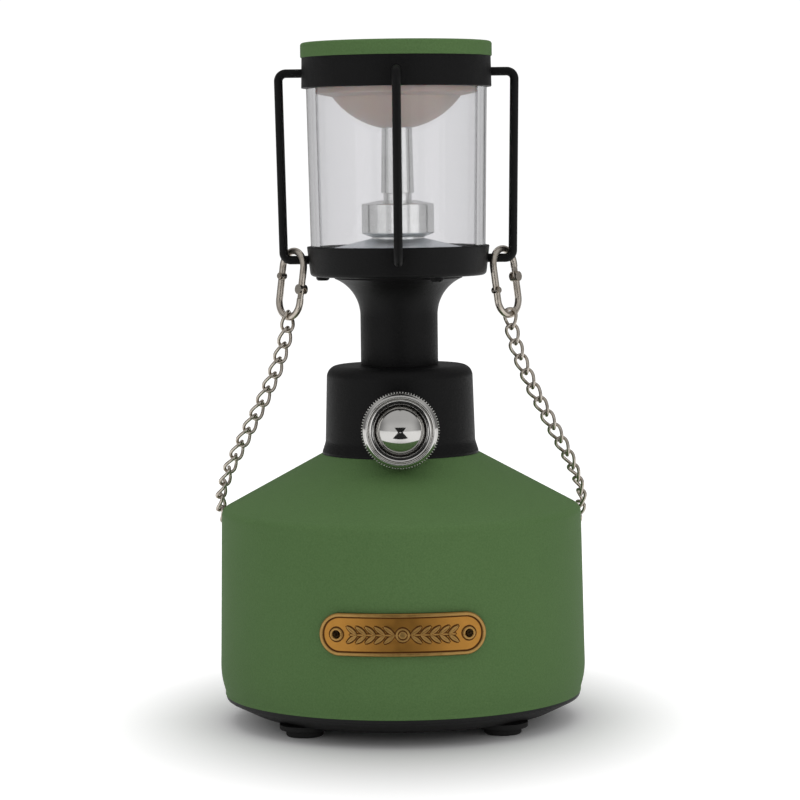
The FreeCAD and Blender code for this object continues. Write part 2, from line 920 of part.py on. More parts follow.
def led_board():
    board = disc(board_r, board_t, z_seat_high - board_t)
    return board.cut(disc(lead_d / 2, board_t, z_seat_high - board_t))


def led_chips():
    z = z_seat_high - board_t - 0.7
    chip = block(led_size, led_size, 0.7, 0, 0, z)
    return Part.makeCompound(around(chip, led_ring_r, [360 * i / led_count for i in range(led_count)]))


def cap_screw_r():
    return board_r + 2.9


def upper_band():
    r = band_r
    seat_r = glass_top_r + seat_fit
    shape = turned([
        (0, z_seat_high),
        (seat_r, z_seat_high),
        (seat_r, z_band),
        (r, z_band, 0.3),
        (r - 0.2, z_cap),
        (cap_inner_r, z_cap),
        (cap_inner_r, z_cap - cap_spigot - fit),
        (0, z_cap - cap_spigot - fit),
    ])
    shape = holes(shape, guard_bores(r, z_guard_high))
    return holes(shape, around(disc(1.2, 12, z_seat_high), cap_screw_r(), (30, 150, 270)))


def top_cap():
    r = cap_r
    shape = turned([
        (0, z_cap + cap_h),
        (0, z_cap - cap_spigot),
        (cap_inner_r - fit, z_cap - cap_spigot),
        (cap_inner_r - fit, z_cap),
        (r, z_cap, 0.3),
        (r, z_cap + cap_h, 1.0),
    ])
    return holes(shape, around(disc(1.0, 6, z_cap - cap_spigot), cap_screw_r(), (30, 150, 270)))


def cap_screws():
    reach = z_cap - z_seat_high + 1.0
    one = screw(2.0, reach, 3.8, 1.2, z_seat_high)
    return Part.makeCompound(around(one, cap_screw_r(), (30, 150, 270)))


def led_lead():
    """The two-core lead, from the LED board down the stem and the neck to the circuit board."""
    plug_z = circuit_z() + board_t + 3.0
    top = z_seat_high - board_t - 0.75
    knee = plug_z + 9.0
    y = circuit_back() - circuit_len + 3.0
    path = rod([(0, top), (0, knee, 7.0), (y, knee, 7.0), (y, plug_z)], lead_d)
    path.rotate(ORIGIN, AXIS, 90)
    return path


def lead_plug():
    y = circuit_back() - circuit_len + 3.0
    return block(5.0, 4.5, 3.0, 0, y, circuit_z() + board_t)


# Guard wires


def guard_wire(angle):
    """One U-shaped wire, from the upper band out, down and back into the lower ring."""
    out_low = wire_out_r
    out_high = wire_out_r + wire_slant
    wire = rod([
        (band_r - wire_insert, z_guard_high),
        (out_high, z_guard_high, wire_bend),
        (out_low, z_guard_low, wire_bend),
        (ring_r - ring_taper - wire_insert, z_guard_low),
    ], wire_d)
    wire.rotate(ORIGIN, AXIS, angle)
    return wire


# Hinged rings: the upper half hangs on the guard wire and the lower half holds the chain.
# The right ring has its tongue half on top, and the left ring hangs the other way up.


def half_path(sign, end_in, end_out):
    """One half of the oval's centreline, over the top (sign 1) or round the bottom (sign -1)."""
    bend, far = clip_u * 0.999, sign * clip_w
    return [(-clip_u, end_in), (-clip_u, far, bend), (clip_u, far, bend), (clip_u, end_out)]


def cheeks(u, w, r, half_gap, thick):
    """Two discs across the ring's plane, outside a central gap."""
    both = Part.makeCylinder(r, 2 * thick, V(u, -thick, w), V(0, 1, 0))
    return both.cut(middle_slab(u, w, r, half_gap))


def middle_slab(u, w, r, half):
    return Part.makeCylinder(r, 2 * half, V(u, -half, w), V(0, 1, 0))


def tongue_half_ring():
    shape = rod(half_path(1, hinge_w, latch_w - 1.6), clip_wire)
    shape = shape.fuse(middle_slab(-clip_u, hinge_w, clip_wire / 2, tongue_half))
    shape = shape.cut(cheeks(-clip_u, hinge_w, pivot_r, tongue_half, clip_wire))
    shape = shape.cut(cheeks(clip_u, latch_w - 1.0, 3.0, tongue_half, clip_wire))
    pin = middle_slab(-clip_u, hinge_w, clip_pin_d / 2 + running, clip_wire)
    return shape.cut(pin)


def fork_half_ring():
    shape = rod(half_path(-1, hinge_w, latch_w - 1.6), clip_wire)
    cheek = middle_slab(-clip_u, hinge_w, clip_wire / 2, clip_wire / 2)
    shape = shape.fuse(cheek)
    shape = shape.cut(middle_slab(-clip_u, hinge_w, pivot_r, slot_half))
    shape = shape.fuse(middle_slab(clip_u, latch_w - 1.4, 1.7, 1.55))
    nose = Part.makeBox(6.0, 2 * latch_half, 6.0, V(clip_u - 3.0, -latch_half, latch_w - 1.6 - apart))
    shape = shape.cut(nose)
    return shape.cut(middle_slab(-clip_u, hinge_w, clip_pin_d / 2, clip_wire))


def ring_pin():
    shape = middle_slab(-clip_u, hinge_w, clip_pin_d / 2, 1.5)
    for side in (-1, 1):
        head = Part.makeCylinder(0.95, 0.35, V(-clip_u, side * 1.2, hinge_w), V(0, side, 0))
        shape = shape.fuse(head)
    return shape


def clip_top():
    """Centre of the ring's wire where it crosses over the guard wire."""
    return V(clip_at, 0, z_guard_low + (wire_d + clip_wire) / 2 + apart)


def hang(shape, side):
    """Hangs a ring piece, made in its own plane, on the right (1) or left (-1) guard wire."""
    top = clip_top()
    shape = shape.copy()
    if side < 0:
        shape.rotate(ORIGIN, V(0, 1, 0), 180)
    shape.translate(V(0, 0, -clip_w))
    shape.rotate(ORIGIN, AXIS, clip_turn)
    shape.rotate(ORIGIN, V(0, 1, 0), -clip_lean)
    shape.translate(top)
    if side < 0:
        shape = shape.mirror(ORIGIN, V(1, 0, 0))
    return shape


def hung_point(u, v, w, side=1):
    return hang(Part.Vertex(u, v, w), side).Point


def ring_normal(side):
    return (hung_point(0, 1, 0, side) - hung_point(0, 0, 0, side)).normalize()


# Chain


def chain_start():
    return hung_point(0, 0, -clip_w)


def wall_point(degrees):
    """A point of the chain on the tank's side, where it hangs in a catenary round the back."""
    r = tank_r + chain_off
    reach = math.radians(90 - degrees) * r
    edge = math.radians(90 - chain_behind) * r
    drop = chain_shape * (math.cosh(edge / chain_shape) - math.cosh(reach / chain_shape))
    return polar(r, degrees, z_shoulder - shoulder_drop - drop)


def span_point(t):
    """A point of the free span between the hinged ring and the tank's shoulder."""
    start = chain_start()
    end = wall_point(chain_behind)
    reach = start.distanceToPoint(end)
    leave = V(chain_leave, 0, -1).normalize() * reach
    arrive = (wall_point(chain_behind + 1) - wall_point(chain_behind)).normalize() * (reach * chain_arrive)
    a = 2 * t ** 3 - 3 * t ** 2 + 1
    b = t ** 3 - 2 * t ** 2 + t
    c = 3 * t ** 2 - 2 * t ** 3
    d = t ** 3 - t ** 2
    return start * a + leave * b + end * c + arrive * d


def chain_route():
    """The whole route, from the right ring round the back of the tank to the left one."""
    steps = 120
    right = [span_point(i / steps) for i in range(steps)]
    right += [wall_point(lerp(chain_behind, 90, i / steps)) for i in range(steps)]
    lead_in = (right[0] - right[1]).normalize() * 1.3
    right = [right[0] + lead_in] + right
    left = [V(-p.x, p.y, p.z) for p in reversed(right)]
    return right + [wall_point(90)] + left


def link():
    """One oval link of round wire, long along X and flat in the XY plane."""
    r = (link_wide - link_wire) / 2
    run = (link_long - link_wide) / 2
    shape = None
    for side in (-1, 1):
        bend = Part.makeTorus(r, link_wire / 2, ORIGIN, AXIS, -180, 180, 180)
        bend.rotate(ORIGIN, AXIS, -90 * side)
        bend.translate(V(side * run, 0, 0))
        bar = Part.makeCylinder(link_wire / 2, 2 * run, V(-run, side * r, 0), V(1, 0, 0))
        shape = bend.fuse(bar) if shape is None else shape.fuse(bend).fuse(bar)
    return shape.removeSplitter()


def chain_links():
    route = chain_route()
    lengths = [0.0]
    for a, b in zip(route, route[1:]):
        lengths.append(lengths[-1] + a.distanceToPoint(b))
    pitch = link_long - 2 * link_wire - link_play
    count = round(lengths[-1] / pitch)
    count -= 1 - count % 2
    step = lengths[-1] / count
    one = link()
    links = []
    k = 0
    for i in range(count):
        at = (i + 0.5) * step
        while lengths[k + 1] < at:
            k += 1
        share = (at - lengths[k]) / (lengths[k + 1] - lengths[k])
        place = route[k] + (route[k + 1] - route[k]) * share
        ahead = (route[k + 1] - route[k]).normalize()
        out = V(place.x, place.y, 0)
        out = (out - ahead * out.dot(ahead)).normalize()
        side = ahead.cross(out)
        turn = math.radians(45 + 90 * (i % 2) + ring_turn(i, count, ahead, out, side))
        flat = out * math.cos(turn) + side * math.sin(turn)
        copy = one.copy()
        copy.Placement = FreeCAD.Placement(place, FreeCAD.Rotation(ahead, flat, ahead.cross(flat), "XYZ"))
        links.append(copy)
    print("chain:", count, "links, step", round(step, 3), "mm, length", round(lengths[-1], 1), "mm")
    return Part.makeCompound(links)


def ring_turn(i, count, ahead, out, side):
    """Extra turn of a link near a ring, so that the end link lies across the ring's wire."""
    from_end = min(i, count - 1 - i)
    normal = ring_normal(1 if i < count / 2 else -1)
    wanted = math.degrees(math.atan2(normal.dot(side), normal.dot(out)))
    extra = (wanted - 45 + 90) % 180 - 90
    return extra * max(0.0, 1 - from_end / blend_links)


parts = {
    "tank_shell": tank_shell(),
    "base_plate": base_plate(),
    "rubber_feet": rubber_feet(),
    "base_screws": base_screws(),
    "collar_screws": collar_screws(),
    "battery_cells": battery_cells(),
    "battery_tray": battery_tray(),
    "circuit_board": circuit_board(),
    "circuit_screws": circuit_screws(),
    "usb_port": usb_port(),
    "port_bezel": port_bezel(),
    "port_cover": port_cover(),
    "cover_pin": cover_pin(),
    "name_plate": name_plate(),
    "plate_rivets": plate_rivets(),
    "collar": collar(),
    "dimmer_pot": dimmer_pot(),
    "pot_nut": pot_nut(),
    "pot_shaft": pot_shaft(),
    "knob_body": knob_body(),
    "knob_dome": knob_dome(),
    "neck": neck(),
    "neck_screws": neck_screws(),
    "lower_ring": lower_ring(),
    "lamp_screws": lamp_screws(),
    "lower_seal": lower_seal(),
    "upper_seal": upper_seal(),
    "glass_chimney": glass_chimney(),
    "reflector_dish": reflector_dish(),
    "stem_cup": stem_cup(),
    "stem_nut": stem_nut(),
    "stem": stem(),
    "diffuser_dome": diffuser_dome(),
    "led_board": led_board(),
    "led_chips": led_chips(),
    "led_lead": led_lead(),
    "lead_plug": lead_plug(),
    "upper_band": upper_band(),
    "top_cap": top_cap(),
    "cap_screws": cap_screws(),
    "guard_wire_right": guard_wire(0),
    "guard_wire_back": guard_wire(90),
    "guard_wire_left": guard_wire(180),
    "guard_wire_front": guard_wire(270),
    "right_ring_upper": hang(tongue_half_ring(), 1),
    "right_ring_lower": hang(fork_half_ring(), 1),
    "right_ring_pin": hang(ring_pin(), 1),
    "left_ring_upper": hang(fork_half_ring(), -1),
    "left_ring_lower": hang(tongue_half_ring(), -1),
    "left_ring_pin": hang(ring_pin(), -1),
    "chain_links": chain_links(),
}

os.makedirs("parts", exist_ok=True)
for name, shape in parts.items():
    if not shape.isValid():
        print("not valid:", name)
    shape.exportStep("parts/" + name + ".step")
for side in (1, -1):
    hinge = [round(c / 1000, 6) for c in hung_point(-clip_u, 0, hinge_w, side)]
    print("ring hinge at", hinge, "axis", [round(c, 6) for c in ring_normal(side)])
print("knob axis height", round(z_knob, 3), "cover hinge", [round(c, 3) for c in hinge_line()])
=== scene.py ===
# %% [markdown]
# # A camping lantern with a tank base, a glass lamp house and a carrying chain
#
# The frame brings in every hard part at its true place and size: tank, collar, neck, glass, guard wires
# and hinged rings. Shapes that are already right keep their mesh and only get a finish here. The chain, the
# knob's rim and the name plate are made again, because a buyer looks at them closely: twisted links, a
# knurled edge and a cast relief need more detail than a working model holds.

# %% Load the lantern's frame
import json
import math

import bmesh
import bpy
from mathutils import Matrix, Vector


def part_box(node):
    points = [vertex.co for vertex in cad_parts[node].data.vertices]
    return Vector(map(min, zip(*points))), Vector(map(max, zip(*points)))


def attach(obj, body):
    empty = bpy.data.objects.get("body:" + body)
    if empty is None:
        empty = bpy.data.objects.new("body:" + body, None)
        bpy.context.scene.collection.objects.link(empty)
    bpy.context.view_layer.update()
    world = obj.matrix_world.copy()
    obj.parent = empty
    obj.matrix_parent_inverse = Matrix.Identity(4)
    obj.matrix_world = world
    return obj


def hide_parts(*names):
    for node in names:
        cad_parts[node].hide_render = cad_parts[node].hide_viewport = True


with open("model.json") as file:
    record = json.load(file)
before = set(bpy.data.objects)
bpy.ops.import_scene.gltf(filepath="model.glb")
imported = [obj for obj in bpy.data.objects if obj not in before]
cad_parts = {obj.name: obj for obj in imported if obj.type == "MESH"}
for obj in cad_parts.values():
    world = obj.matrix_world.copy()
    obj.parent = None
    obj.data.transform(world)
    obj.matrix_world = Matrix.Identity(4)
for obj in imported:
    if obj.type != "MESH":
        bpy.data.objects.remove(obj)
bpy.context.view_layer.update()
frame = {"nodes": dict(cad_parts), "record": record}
nodes = frame["nodes"]
MM = 0.001

# %% [markdown]
# The camera comes first. A long lens from about a metre away keeps the tank's sides nearly straight, and
# a small look down shows the top of the cone and the feet together. A shifted lens would keep the sides
# truly upright, but the shift would stay when the camera moves round the lantern, so it is tilted instead.

# %% Camera
camera_distance = 1.0725
eye_height = 0.1932
look_down = math.radians(4.376)
camera_lean = math.radians(-0.673)

camera_data = bpy.data.cameras.new("studio_camera")
camera_data.sensor_width = 36.0
camera_data.lens = 139.4
camera_data.clip_end = 50.0
camera = bpy.data.objects.new("studio_camera", camera_data)
facing = Matrix.Rotation(math.radians(90) - look_down, 4, "X") @ Matrix.Rotation(camera_lean, 4, "Z")
camera.matrix_world = Matrix.Translation((0, -camera_distance, eye_height)) @ facing
bpy.context.scene.collection.objects.link(camera)
bpy.context.scene.camera = camera
print("camera:", camera_data.lens, "mm lens at", camera_distance, "m")

# %% [markdown]
# Shader maths reads best as plain sums. `Value` wraps one socket of a node tree and turns +, -, * and /
# into Math nodes. `Tree.add` makes any other node from its type, its settings and what goes into its
# sockets, so a finish below is a short list of steps, and the same two serve the geometry trees.

# %% Node helpers
class Value:
    """A socket that can be added, subtracted, multiplied and divided."""

    def __init__(self, tree, socket):
        self.tree, self.socket = tree, socket

    def maths(self, operation, first, second):
        return self.tree.add("ShaderNodeMath", {"operation": operation}, {0: first, 1: second})

    def __add__(self, other):
        return self.maths("ADD", self, other)

    def __sub__(self, other):
        return self.maths("SUBTRACT", self, other)

    def __mul__(self, other):
        return self.maths("MULTIPLY", self, other)

    def __truediv__(self, other):
        return self.maths("DIVIDE", self, other)

    def __rsub__(self, other):
        return self.maths("SUBTRACT", other, self)

    __radd__ = __add__
    __rmul__ = __mul__

    def power(self, exponent):
        return self.maths("POWER", self, exponent)

    def cosine(self):
        return self.maths("COSINE", self, 0)

    def sine(self):
        return self.maths("SINE", self, 0)

    def size(self):
        return self.maths("ABSOLUTE", self, 0)

    def sign(self):
        return self.maths("SIGN", self, 0)


class Tree:
    """A node tree that grows one node at a time."""

    def __init__(self, node_tree):
        self.nodes, self.links = node_tree.nodes, node_tree.links

    def add(self, kind, settings=None, inputs=None, output=0):
        """A node of any kind: its settings first, then its inputs, and the wanted output back."""
        node = self.nodes.new(kind)
        for name, setting in (settings or {}).items():
            if name == "stops":
                self.set_stops(node.color_ramp, setting)
            else:
                setattr(node, name, setting)
        for key, given in (inputs or {}).items():
            self.feed(node.inputs[key], given)
        return Value(self, node.outputs[output]) if node.outputs else node

    def feed(self, socket, given):
        if isinstance(given, Value):
            self.links.new(given.socket, socket)
        else:
            socket.default_value = given

    @staticmethod
    def set_stops(ramp, stops):
        while len(ramp.elements) < len(stops):
            ramp.elements.new(1.0)
        for element, (place, shade) in zip(ramp.elements, stops):
            element.position = place
            element.color = shade


def rgba(red, green, blue):
    return (red, green, blue, 1.0)


noise_low, noise_high = 0.3, 0.7  # the usual spread of a noise


class Finish(Tree):
    """A material with one main shader, and the patterns that its finishes share."""

    def __init__(self, name, **constant):
        self.material = bpy.data.materials.new(name)
        self.material.use_nodes = True
        super().__init__(self.material.node_tree)
        self.shader = next(n for n in self.nodes if n.type == "BSDF_PRINCIPLED")
        for key, given in constant.items():
            self.feed(self.shader.inputs[key.replace("_", " ")], given)
        self.place = self.add("ShaderNodeTexCoord", output="Object")

    def set(self, socket, given):
        self.feed(self.shader.inputs[socket], given)

    def stretched(self, x, y, z):
        return self.add("ShaderNodeMapping", {}, {"Vector": self.place, "Scale": (x, y, z)})

    def noise(self, scale, detail=2.0, rough=0.5, place=None):
        fed = {"Vector": place or self.place, "Scale": scale, "Detail": detail, "Roughness": rough}
        return self.add("ShaderNodeTexNoise", {}, fed)

    def between(self, amount, low, high):
        """A value that runs from low to high over the usual spread of a noise."""
        fed = {"Value": amount, "From Min": noise_low, "From Max": noise_high, "To Min": low, "To Max": high}
        return self.add("ShaderNodeMapRange", {}, fed)

    def blend_colour(self, amount, first, second):
        fed = {"Factor": amount, 6: first, 7: second}
        return self.add("ShaderNodeMix", {"data_type": "RGBA"}, fed, output=2)

    def relief(self, height, distance):
        fed = {"Height": height, "Distance": distance, "Strength": 1.0}
        self.set("Normal", self.add("ShaderNodeBump", {}, fed))


print("helpers ready")

# %% [markdown]
# Powder coat covers the tank, the cap, the collar and the lamp house. The powder melts into a skin with a
# fine orange peel, about half a millimetre from hill to hill, and a still finer sand in matte grades. A
# texture map would need a scan of a real coat. Two layers of noise follow the shape and suit any size.

# %% Powder coat
def powder_coat(name, deep, light, rough, shine, peel=0.00018):
    coat = Finish(name, Metallic=0.0, IOR=1.5, Specular_IOR_Level=shine)
    skin = coat.noise(1700.0, 3.0, 0.6)
    sand = coat.noise(6000.0, 2.0)
    clouds = coat.noise(18.0, 3.0)
    shade = coat.between(clouds * 0.25 + skin * 0.75, 0.0, 1.0)
    coat.set("Base Color", coat.blend_colour(shade, rgba(*deep), rgba(*light)))
    coat.set("Roughness", coat.between(skin, rough - 0.05, rough + 0.06))
    coat.relief(skin * 0.7 + sand * 0.3, peel)
    return coat.material


green_coat = powder_coat("green_powder_coat", (0.100, 0.192, 0.064), (0.136, 0.250, 0.090), 0.64, 0.18)
black_coat = powder_coat("black_powder_coat", (0.0026, 0.0026, 0.0028), (0.0058, 0.0058, 0.0060), 0.42, 0.16)
print("powder coats:", green_coat.name, black_coat.name)

# %% [markdown]
# Metals differ mostly in roughness and in the marks that making them leaves. The knob is bright chrome,
# with faint handling marks. The stem and its cup are turned and polished, so rings run round them. The
# chain and the hinged rings are nickel plate that has gone warm and a little dull in places.

# %% Metals
def chrome_plate():
    chrome = Finish("bright_chrome", Metallic=1.0)
    smudge = chrome.noise(140.0, 4.0, 0.6)
    chrome.set("Base Color", chrome.blend_colour(smudge, rgba(0.62, 0.61, 0.59), rgba(0.70, 0.69, 0.67)))
    chrome.set("Roughness", chrome.between(smudge, 0.05, 0.11))
    chrome.relief(chrome.noise(700.0, 2.0), 0.000004)
    return chrome.material


def turned_metal(name, dark, bright, rough, ring_scale=9000.0):
    metal = Finish(name, Metallic=1.0)
    rings = metal.noise(1.0, 2.0, 0.6, metal.stretched(40.0, 40.0, ring_scale))
    stain = metal.noise(90.0, 3.0)
    metal.set("Base Color", metal.blend_colour(metal.between(stain, 0.0, 1.0), rgba(*dark), rgba(*bright)))
    metal.set("Roughness", metal.between(rings, rough - 0.05, rough + 0.07))
    metal.relief(rings, 0.000006)
    return metal.material


def nickel_plate():
    nickel = Finish("warm_nickel", Metallic=1.0)
    tarnish = nickel.noise(420.0, 4.0, 0.65)
    patches = nickel.between(tarnish, 0.0, 1.0)
    nickel.set("Base Color", nickel.blend_colour(patches, rgba(0.46, 0.405, 0.34), rgba(0.70, 0.645, 0.575)))
    nickel.set("Roughness", nickel.between(tarnish, 0.36, 0.22))
    nickel.relief(nickel.noise(2200.0, 3.0), 0.00001)
    return nickel.material


chrome = chrome_plate()
polished = turned_metal("polished_aluminium", (0.74, 0.745, 0.73), (0.83, 0.835, 0.82), 0.15)
dish_metal = turned_metal("spun_reflector", (0.72, 0.76, 0.80), (0.80, 0.84, 0.88), 0.32)
zinc = turned_metal("zinc_plated_steel", (0.36, 0.36, 0.37), (0.50, 0.50, 0.51), 0.30)
nickel = nickel_plate()
print("metals:", chrome.name, polished.name, dish_metal.name, zinc.name, nickel.name)

# %% [markdown]
# The name plate is cast brass that was dipped dark and wiped, so the dark stays in the corners where the
# cloth doesn't reach. Curvature nodes don't survive baking, so the plate's own mesh carries the masks: each
# point stores how deep it lies and how close it is to a step, and the brass changes colour with both.

# %% Antique brass
def antique_brass(name, worn_by_depth, patina_and_hole_shade):
    brass = Finish(name, Metallic=1.0)
    cloud = brass.noise(420.0, 4.0, 0.6)
    patches = brass.between(cloud, 0.0, 1.0)
    wiped = brass.blend_colour(patches, rgba(0.40, 0.235, 0.075), rgba(0.52, 0.310, 0.105))
    if worn_by_depth:
        depth = brass.add("ShaderNodeAttribute", {"attribute_name": "depth"}, output="Fac")
        corner = brass.add("ShaderNodeAttribute", {"attribute_name": "patina"}, output="Fac")
        wiped = brass.blend_colour(depth, wiped, rgba(0.49, 0.235, 0.050))
        dark = brass.between(corner * 0.75 + cloud * 0.25, 0.0, 1.0)
    else:
        # Without the masks the colour is almost all the dark one: on the rivets this is painted shade for
        # the deep eyelet holes.
        dark = brass.between(cloud, 0.85, 1.0)
    brass.set("Base Color", brass.blend_colour(dark, wiped, rgba(*patina_and_hole_shade)))
    brass.set("Roughness", brass.between(cloud, 0.30, 0.42))
    brass.relief(brass.noise(3200.0, 3.0), 0.000012)
    return brass.material


plate_brass = antique_brass("antique_brass", True, (0.120, 0.050, 0.015))
# The rivets are coloured almost black: a painted shade that stands for the dark inside the deep eyelet
# holes.
rivet_painted_shade = antique_brass("rivet_painted_hole_shade", False, (0.012, 0.007, 0.004))
print("brass:", plate_brass.name, rivet_painted_shade.name)

# %% [markdown]
# The chimney is a thick clear tube with a breath of cool grey, and its tint is set on the shader itself,
# because glass colours light by how much of it the light crosses. The dome below the cap is frosted and a
# little pink, and light spreads inside it, so it gets a short subsurface depth and a satin skin.

# %% Glass, dome and soft parts
def clear_glass():
    glass = Finish("chimney_glass", IOR=1.47, Transmission_Weight=1.0)
    glass.set("Base Color", rgba(0.805, 0.803, 0.815))
    haze = glass.noise(30.0, 2.0)
    glass.set("Roughness", glass.between(haze, 0.0, 0.015))
    return glass.material


def frosted_dome():
    dome = Finish("frosted_diffuser", Subsurface_Weight=0.35, Subsurface_Scale=0.004, IOR=1.5)
    cloud = dome.noise(60.0, 2.0)
    dome.set("Base Color", dome.blend_colour(cloud, rgba(0.78, 0.62, 0.545), rgba(0.86, 0.70, 0.625)))
    dome.set("Roughness", dome.between(cloud, 0.34, 0.42))
    dome.relief(dome.noise(5000.0, 2.0), 0.000006)
    return dome.material


def moulded(name, dark, light, rough, grain=3000.0, depth=0.00002):
    plastic = Finish(name, IOR=1.42)
    grit = plastic.noise(grain, 3.0)
    cloud = plastic.noise(45.0, 2.0)
    patches = plastic.between(cloud, 0.0, 1.0)
    plastic.set("Base Color", plastic.blend_colour(patches, rgba(*dark), rgba(*light)))
    plastic.set("Roughness", plastic.between(grit, rough - 0.06, rough + 0.06))
    plastic.relief(grit, depth)
    return plastic.material


glass = clear_glass()
dome_frost = frosted_dome()
rubber = moulded("foot_rubber", (0.012, 0.012, 0.012), (0.020, 0.020, 0.020), 0.75)
tray_plastic = moulded("tray_plastic", (0.002, 0.002, 0.002), (0.004, 0.004, 0.004), 0.55)
silicone = moulded("seal_silicone", (0.28, 0.28, 0.29), (0.36, 0.36, 0.37), 0.45)
white_mask = moulded("white_solder_mask", (0.72, 0.72, 0.69), (0.80, 0.80, 0.77), 0.35)
phosphor = moulded("led_phosphor", (0.78, 0.60, 0.12), (0.88, 0.72, 0.20), 0.30)
green_mask = moulded("green_solder_mask", (0.020, 0.13, 0.05), (0.035, 0.17, 0.075), 0.30)
sleeve = moulded("cell_sleeve", (0.03, 0.11, 0.33), (0.05, 0.16, 0.42), 0.28)
print("glass and plastics: 9 finishes")

# %% [markdown]
# Each part takes the finish that its record slot names. One table is enough, and a few parts that share a
# slot but look different, such as the reflector dish and the rivets, are named after it.

# %% Give every part its finish
slot_finish = {
    "green_paint": green_coat,
    "black_paint": black_coat,
    "black_rubber": rubber,
    "black_plastic": tray_plastic,
    "chrome": chrome,
    "polished_alu": polished,
    "nickel_wire": nickel,
    "screw_steel": zinc,
    "brass_plate": plate_brass,
    "clear_glass": glass,
    "frosted_dome": dome_frost,
    "seal_silicone": silicone,
    "white_board": white_mask,
    "led_phosphor": phosphor,
    "green_board": green_mask,
    "cell_sleeve": sleeve,
}
# The rivets' near-black finish is painted shade for the eyelet holes they sit in.
own_finish = {"reflector_dish": dish_metal, "plate_rivets": rivet_painted_shade, "lamp_screws": black_coat}
for part in frame["record"]["subparts"]:
    finish = own_finish.get(part["node"], slot_finish[part["material_slot"]])
    for place in nodes[part["node"]].material_slots:
        place.material = finish

# %% [markdown]
# Geometry Nodes make the pieces that repeat. `grow` builds one tree on a start mesh, sets its named
# inputs, and turns the result into a plain mesh, because later steps and other programs want real faces.

# %% Growing a piece from a node tree
def grow(name, start, build, sizes, finish):
    """The mesh that a geometry tree makes from a start mesh, as a new object with nothing live on it."""
    group = bpy.data.node_groups.new(name + "_tree", "GeometryNodeTree")
    group.interface.new_socket("Geometry", in_out="INPUT", socket_type="NodeSocketGeometry")
    sockets = {}
    for label in sizes:
        kind = "NodeSocketInt" if isinstance(sizes[label], int) else "NodeSocketFloat"
        sockets[label] = group.interface.new_socket(label, in_out="INPUT", socket_type=kind)
    group.interface.new_socket("Geometry", in_out="OUTPUT", socket_type="NodeSocketGeometry")
    tree = Tree(group)
    entry = tree.nodes.new("NodeGroupInput")
    given = {label: Value(tree, entry.outputs[label]) for label in sizes}
    shape = build(tree, Value(tree, entry.outputs["Geometry"]), given)
    whole = tree.add("GeometryNodeRealizeInstances", {}, {"Geometry": shape})
    painted = tree.add("GeometryNodeSetMaterial", {}, {"Geometry": whole, "Material": finish})
    tree.add("NodeGroupOutput", {}, {0: painted})
    seed = bpy.data.objects.new(name + "_seed", start)
    bpy.context.scene.collection.objects.link(seed)
    modifier = seed.modifiers.new(name, "NODES")
    modifier.node_group = group
    for label, socket in sockets.items():
        modifier[socket.identifier] = sizes[label]
    seen = seed.evaluated_get(bpy.context.evaluated_depsgraph_get())
    mesh = bpy.data.meshes.new_from_object(seen)
    bpy.data.objects.remove(seed)
    return stand(name, mesh)


def stand(name, mesh):
    """A finished mesh as an object at the origin."""
    mesh.name = name
    piece = bpy.data.objects.new(name, mesh)
    bpy.context.scene.collection.objects.link(piece)
    bpy.context.view_layer.update()
    return piece


print("geometry trees ready")

# %% [markdown]
# The chain is a curb chain: each oval link is twisted a quarter turn, so that all of them lie the same way
# round and the chain hangs flat. Its links could be placed by hand or along a curve. The frame already
# holds every link at its true place, so each one's middle and directions are read from there, and the
# twisted link is set on that spot.

# %% Read the places of the links
link_wire = 1.2 * MM
link_half_long = 3.5 * MM
link_half_wide = 2.15 * MM
oval_lean = 45.0
chain_roll = 38.0
tank_shoulder = 74.0 * MM
hang_free = 98.0 * MM
on_tank_below = 70.0 * MM


def islands(mesh):
    """The separate solids of a mesh, each as a list of points."""
    body = bmesh.new()
    body.from_mesh(mesh)
    bmesh.ops.remove_doubles(body, verts=body.verts, dist=1e-7)
    seen, found = set(), []
    for first in body.verts:
        if first in seen:
            continue
        seen.add(first)
        group, waiting = [], [first]
        while waiting:
            vert = waiting.pop()
            group.append(vert.co.copy())
            for edge in vert.link_edges:
                other = edge.other_vert(vert)
                if other not in seen:
                    seen.add(other)
                    waiting.append(other)
        found.append(group)
    body.free()
    return found


def link_place(points):
    """The middle of a link, its long direction and the direction across its opening."""
    middle = sum(points, Vector()) / len(points)
    long_way = max((p - middle for p in points), key=lambda v: v.length).normalized()
    flat = [(p - middle) - long_way * (p - middle).dot(long_way) for p in points]
    across = max(flat, key=lambda v: v.length).normalized()
    return middle, long_way, across


places = [link_place(points) for points in islands(nodes["chain_links"].data)]
order = [max(places, key=lambda p: p[0].x + p[0].z)]
rest = [p for p in places if p is not order[0]]
while rest:
    nearest = min(rest, key=lambda p: (p[0] - order[-1][0]).length)
    rest.remove(nearest)
    order.append(nearest)
chain_ends = [[round(c, 4) for c in link[0]] for link in (order[0], order[-1])]
print("links:", len(order), "from", chain_ends[0], "to", chain_ends[1])

# %% [markdown]
# In the frame the links are plain ovals that lean 45 degrees one way and then the other. A twisted link
# leans one way at its first end and the other way at its second, so all the twisted links share the middle
# direction between the two. Turning each reading back by 45 degrees, in turns, gives that direction, and
# of its two hands the one with the chain's flat face to the front is kept. The chain rolls a little more,
# as a free chain does, so that its links are seen partly from the side. Below the tank's shoulder it
# lies flat against the tank.

